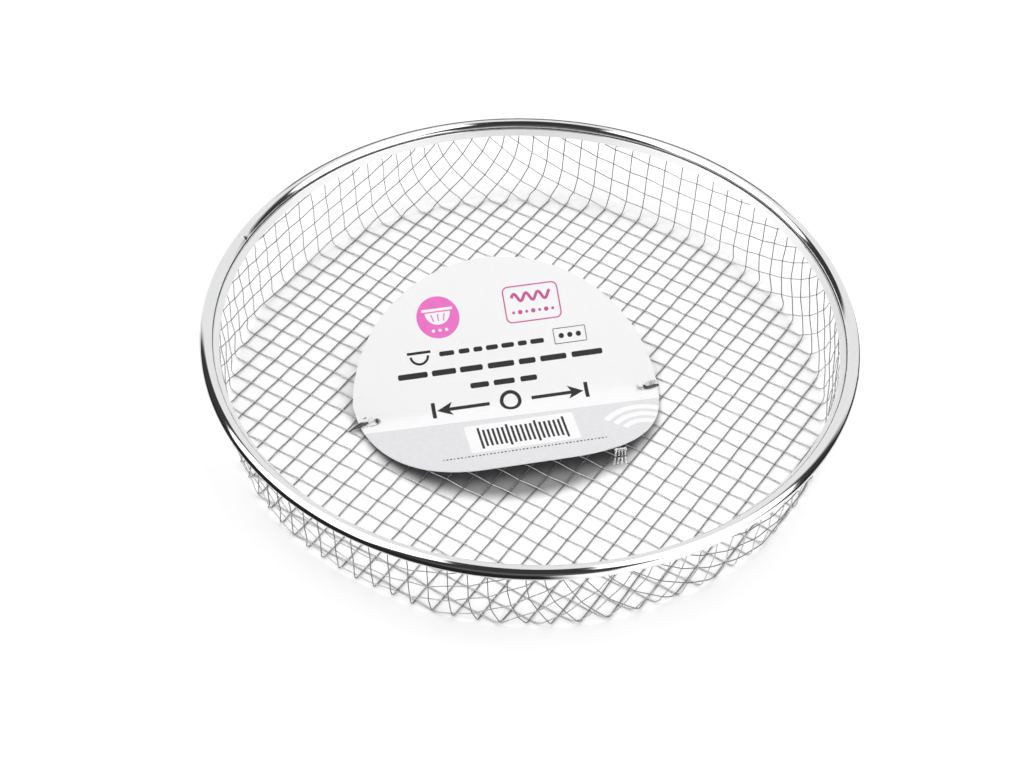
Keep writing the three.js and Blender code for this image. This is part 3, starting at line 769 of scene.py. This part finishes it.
def by_tab(*points):
    """Places in the scene of points given in mm: along the tab, ahead of its middle, and above the mesh."""
    places = []
    for across, ahead, height in points:
        a, forth = (tab_middle + across) * 0.001, (tab_front - ahead) * 0.001
        places.append(Vector((card_middle.x + a * math.cos(card_turn) - forth * math.sin(card_turn),
                              card_middle.y + a * math.sin(card_turn) + forth * math.cos(card_turn),
                              tab_floor + height * 0.001)))
    return places


ribs = []
for k in range(4):
    out = rib_spread * (k - 1.5) / 1.5
    ribs.append((by_tab((out, -0.5, 6.4), (out, -0.2, 3.6), (out * 1.15, 0.1, 1.6), (out * 1.35, 0.3, 0.2)),
                 [0.26, 0.24, 0.24, 0.34], [0.26, 0.24, 0.24, 0.34]))
ribs.append((by_tab((-rib_spread - 0.4, -0.5, 5.7), (0, -0.4, 5.9), (rib_spread + 0.4, -0.5, 5.7)),
             [0.55, 0.6, 0.55], [0.32, 0.34, 0.32]))
tab = loft_object("tie_tab_ribs", ribs)
tab_strap_and_gap_shade = loft_object("tie_tab_strap_and_gap_shade", [
    (by_tab((-rib_spread - 0.5, 0.3, 3.4), (-0.7, 0.5, 3.7), (0.8, 0.5, 3.6), (rib_spread + 0.5, 0.3, 3.3)),
     [0.16, 0.22, 0.22, 0.16], [0.16, 0.2, 0.2, 0.16])] + [
    # Painted shade: dark smoked rods fill the three gaps between the ribs.
    (by_tab((gap, -0.35, 6.0), (gap, 0, 3.4), (gap * 1.2, 0.25, 0.9)), [0.15, 0.17, 0.12], [0.15, 0.17, 0.12])
    for gap in (-1.03, 0, 1.03)])
for piece, material in ((tab, clear), (tab_strap_and_gap_shade, smoked)):
    piece.data.materials.append(material)
    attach(piece, "root")
    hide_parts("tie_tab")


# The floor: white paper that keeps the basket's soft shadow. To the camera its colour and glow also carry
# painted shade, from occlusion about a normal tilted away from the viewer, and a painted shadow in front of
# the card's raised foot. In mirrors its front part is the dark of the room beyond it, as seen from the
# basket, and to the camera it is otherwise plain white.
floor_half = 3
floor_glow = 0.27
shade_width = 0.052
shade_reach = 0.043
shade_start = 0.84
shade_tone = 0.26
blocked_reach = 0.045
mirror_rise = 0.65
floor_mesh = bpy.data.meshes.new("floor")
floor_mesh.from_pydata([(-floor_half, -floor_half, 0), (floor_half, -floor_half, 0),
                        (floor_half, floor_half, 0), (-floor_half, floor_half, 0)], [], [(0, 1, 2, 3)])
floor = bpy.data.objects.new("floor", floor_mesh)
scene.collection.objects.link(floor)
white_floor, paper_shader = grained("white floor", 0, 300, (0.895, 0.895, 0.895), (0.905, 0.905, 0.905),
                                    0.85, 0.95, 0.00001)
paper_shader.inputs["Specular IOR Level"].default_value = 0.0
paper_shader.inputs["Emission Color"].default_value = (1, 1, 1, 1)
tree = white_floor.node_tree


def maths(operation, first, second, third=0.0):
    made = new_node(tree, "ShaderNodeMath", {0: first, 1: second, 2: third}, operation=operation)
    return made.outputs["Value"]


def ramp(value, low, high):
    return new_node(tree, "ShaderNodeMapRange", {"Value": value, "From Min": low, "From Max": high},
                    interpolation_type="SMOOTHSTEP").outputs["Result"]


def along(way, direction):
    made = new_node(tree, "ShaderNodeVectorMath", {0: way, 1: direction}, operation="DOT_PRODUCT")
    return made.outputs["Value"]


def level_direction(azimuth):
    return math.cos(math.radians(azimuth)), math.sin(math.radians(azimuth)), 0


light_path = new_node(tree, "ShaderNodeLightPath")
spot = new_node(tree, "ShaderNodeTexCoord").outputs["Object"]
distance = new_node(tree, "ShaderNodeVectorMath", {0: spot}, operation="LENGTH").outputs["Value"]
outward = new_node(tree, "ShaderNodeVectorMath", {0: spot}, operation="NORMALIZE").outputs["Vector"]
# Painted shade: occlusion about a normal tilted away from the viewer darkens the floor's colour and glow
# where the card and wires stand over it.
mirrored_view = Vector((0, 0, mirror_rise)) - toward_viewer
blocked = new_node(tree, "ShaderNodeAmbientOcclusion", {
    "Distance": blocked_reach, "Normal": mirrored_view.normalized()}, samples=8)
painted_occlusion_shade = new_node(tree, "ShaderNodeMapRange", {
    "Value": blocked.outputs["AO"], "From Min": 0.3, "From Max": 0.84, "To Min": 0.22, "To Max": 1.0})
# Painted shadow: a soft dark oval on the floor in front of the card's raised foot, set by distance in the
# card's frame.
card_across = Vector((math.cos(card_turn), math.sin(card_turn), 0))
card_forth = Vector((-math.sin(card_turn), math.cos(card_turn), 0))
card_place = card_middle.to_3d()
by_card = new_node(tree, "ShaderNodeCombineXYZ", {
    0: maths("MULTIPLY_ADD", along(spot, card_across), 1 / shade_width,
             -card_place.dot(card_across) / shade_width),
    1: maths("MULTIPLY_ADD", along(spot, card_forth), 1 / shade_reach,
             -card_place.dot(card_forth) / shade_reach)})
from_card = new_node(tree, "ShaderNodeVectorMath", {
    0: by_card.outputs["Vector"]}, operation="LENGTH").outputs["Value"]
painted_card_shadow = new_node(tree, "ShaderNodeMapRange", {
    "Value": from_card, "From Min": shade_start, "From Max": 1.0, "To Min": shade_tone, "To Max": 1.0},
    interpolation_type="SMOOTHSTEP")
painted_floor_shade = maths("MULTIPLY", painted_occlusion_shade.outputs["Result"], painted_card_shadow.outputs["Result"])
lit_right = ramp(along(outward, level_direction(336)), 0.86, 0.93)
seen = maths("MAXIMUM", light_path.outputs["Is Camera Ray"], light_path.outputs["Is Transmission Ray"])
seen = maths("MAXIMUM", seen, maths("MULTIPLY", light_path.outputs["Is Glossy Ray"], lit_right))
glow = maths("MULTIPLY", maths("MULTIPLY", seen, floor_glow), painted_floor_shade)
tree.links.new(glow, paper_shader.inputs["Emission Strength"])
shaded = new_node(tree, "ShaderNodeMix", {
    0: light_path.outputs["Is Camera Ray"], 6: (1, 1, 1, 1), 7: painted_floor_shade}, data_type="RGBA")
paper_tone = next(n for n in tree.nodes if n.type == "GROUP").outputs["Color"]
darkened = new_node(tree, "ShaderNodeMix", {0: 1.0, 6: paper_tone, 7: shaded.outputs[2]},
                    data_type="RGBA", blend_type="MULTIPLY")
tree.links.new(darkened.outputs[2], paper_shader.inputs["Base Color"])

# The parts of the floor that the rim's outer side mirrors dark, each by its distance and direction.
left_front = ramp(along(spot, level_direction(255)), 0.107, 0.115)
near_front = maths("MULTIPLY", ramp(along(spot, level_direction(292)), 0.108, 0.116),
                   ramp(along(outward, level_direction(272)), 0.72, 0.8))
right_side = maths("MULTIPLY", ramp(distance, 0.135, 0.155),
                   ramp(along(outward, level_direction(30)), 0.86, 0.92))
whole_front = maths("MULTIPLY", ramp(distance, 0.19, 0.21), ramp(along(outward, toward_viewer), -0.1, 0.1))
any_front = maths("MAXIMUM", maths("MAXIMUM", left_front, near_front),
                  maths("MAXIMUM", right_side, whole_front))
dark_part = maths("MULTIPLY", any_front, maths("SUBTRACT", 1.0, lit_right))
mirrored, ray_length = light_path.outputs["Is Glossy Ray"], light_path.outputs["Ray Length"]
far_mirror = maths("MULTIPLY", mirrored, ramp(ray_length, 0.026, 0.031))

# The back of the floor inside the basket, that the rim's far side mirrors dark from its height.
inside = maths("MULTIPLY", ramp(along(spot, level_direction(115)), 0.022, 0.034),
               ramp(maths("MULTIPLY", distance, -1.0), -0.096, -0.09))
from_rim = maths("MULTIPLY", mirrored, ramp(ray_length, 0.036, 0.042))
room = new_node(tree, "ShaderNodeEmission", {"Color": (0.02, 0.02, 0.02, 1), "Strength": 1.0})
mixed = new_node(tree, "ShaderNodeMixShader", {
    0: maths("MAXIMUM", maths("MULTIPLY", dark_part, far_mirror), maths("MULTIPLY", inside, from_rim)),
    1: paper_shader.outputs["BSDF"], 2: room.outputs["Emission"]})
tree.links.new(mixed.outputs["Shader"], tree.nodes["Material Output"].inputs["Surface"])
floor.data.materials.append(white_floor)


# A low dark board stands behind the basket, out of the camera's sight: the rim's far side mirrors it.
board_foot, board_top = Vector((0, 0, 0.085)), Vector((0, 0, 0.2))
board_middle = -toward_viewer * 0.29
board_half = level_right * 0.16
left_side, right_edge = board_middle - board_half, board_middle + board_half
board_mesh = bpy.data.meshes.new("dark_board")
board_mesh.from_pydata([left_side + board_foot, right_edge + board_foot,
                        right_edge + board_top, left_side + board_top], [], [(0, 1, 2, 3)])
dark_board = bpy.data.objects.new("dark_board", board_mesh)
scene.collection.objects.link(dark_board)
dark_board.visible_camera = False
dark_board.visible_diffuse = False
dark_board.visible_shadow = False
dark_board.visible_transmission = False
black_felt, felt_shader = grained("black felt", 0, 2000, (0.01, 0.01, 0.01), (0.03, 0.03, 0.03),
                                  0.9, 1.0, 0.0001)
tree = black_felt.node_tree
mirror_path = new_node(tree, "ShaderNodeLightPath")
unseen = new_node(tree, "ShaderNodeBsdfTransparent")
board_seen = new_node(tree, "ShaderNodeMixShader", {
    0: ramp(mirror_path.outputs["Ray Length"], 0.27, 0.29),
    1: felt_shader.outputs["BSDF"], 2: unseen.outputs["BSDF"]})
tree.links.new(board_seen.outputs["Shader"], tree.nodes["Material Output"].inputs["Surface"])
dark_board.data.materials.append(black_felt)


# The studio: a dim room with a softbox on each side of the viewer, up to overhead, and a pale sweep
# behind the basket that comes further forward on the right. The camera itself sees plain white.
panel_light = 1.75
sweep_light = 0.85
room_dimness = 0.04
viewer_light = 0.07
world = bpy.data.worlds.new("studio")
scene.world = world
world.use_nodes = True
tree = world.node_tree


def sky_direction(azimuth, elevation):
    a, e = math.radians(azimuth), math.radians(elevation)
    return Vector((math.cos(e) * math.cos(a), math.cos(e) * math.sin(a), math.sin(e)))


way = new_node(tree, "ShaderNodeTexCoord").outputs["Generated"]
toward = along(way, toward_viewer)
aside = along(way, level_right)
height = new_node(tree, "ShaderNodeSeparateXYZ", {0: way}).outputs["Z"]
panels = []
for side, back_top, back_foot in ((1, (165, 68), (84, 6)), (-1, (168, 66), (98, 6))):
    corners = [sky_direction(*c) for c in ((46, 6), (27, 55), (100, 81), back_top, back_foot)]
    on_side = new_node(tree, "ShaderNodeCombineXYZ", {
        0: toward, 1: maths("MULTIPLY", aside, side), 2: height}).outputs["Vector"]
    panel = 1.0
    for here, there in zip(corners, corners[1:] + corners[:1]):
        inward = there.cross(here).normalized()
        panel = maths("MULTIPLY", panel, ramp(along(on_side, inward), -0.01, 0.03))
    panels.append(panel)
away = maths("MULTIPLY", toward, -1.0)
off_middle = maths("ABSOLUTE", aside, 0)
overhead = maths("MULTIPLY", ramp(away, 0.08, 0.16), ramp(maths("MULTIPLY", off_middle, -1.0), -0.4, -0.3))
right_sweep = maths("MULTIPLY", ramp(away, 0.25, 0.5), ramp(aside, 0.2, 0.3))
sweep = maths("MAXIMUM", ramp(away, 0.6, 0.68), maths("MAXIMUM", overhead, right_sweep))
low_right = maths("MULTIPLY", ramp(along(way, level_direction(-2)), 0.84, 0.9),
                  ramp(maths("MULTIPLY", height, -1.0), -0.32, -0.2))
panel = maths("MAXIMUM", maths("MAXIMUM", *panels), low_right)
studio = maths("ADD", maths("MULTIPLY", panel, panel_light), maths("MULTIPLY", sweep, sweep_light))
studio = maths("ADD", studio, maths("MULTIPLY", ramp(toward, 0.8, 0.95), viewer_light))
room_light = tree.nodes["Background"]
room_light.inputs["Color"].default_value = (1, 1, 1, 1)
tree.links.new(maths("ADD", studio, room_dimness), room_light.inputs["Strength"])
plain = new_node(tree, "ShaderNodeBackground", {"Color": (1, 1, 1, 1), "Strength": 1.0})
ray_kind = new_node(tree, "ShaderNodeLightPath")
seen = maths("MAXIMUM", ray_kind.outputs["Is Camera Ray"], ray_kind.outputs["Is Transmission Ray"])
both = new_node(tree, "ShaderNodeMixShader", {
    0: seen, 1: room_light.outputs["Background"], 2: plain.outputs["Background"]})
tree.links.new(both.outputs["Shader"], tree.nodes["World Output"].inputs["Surface"])
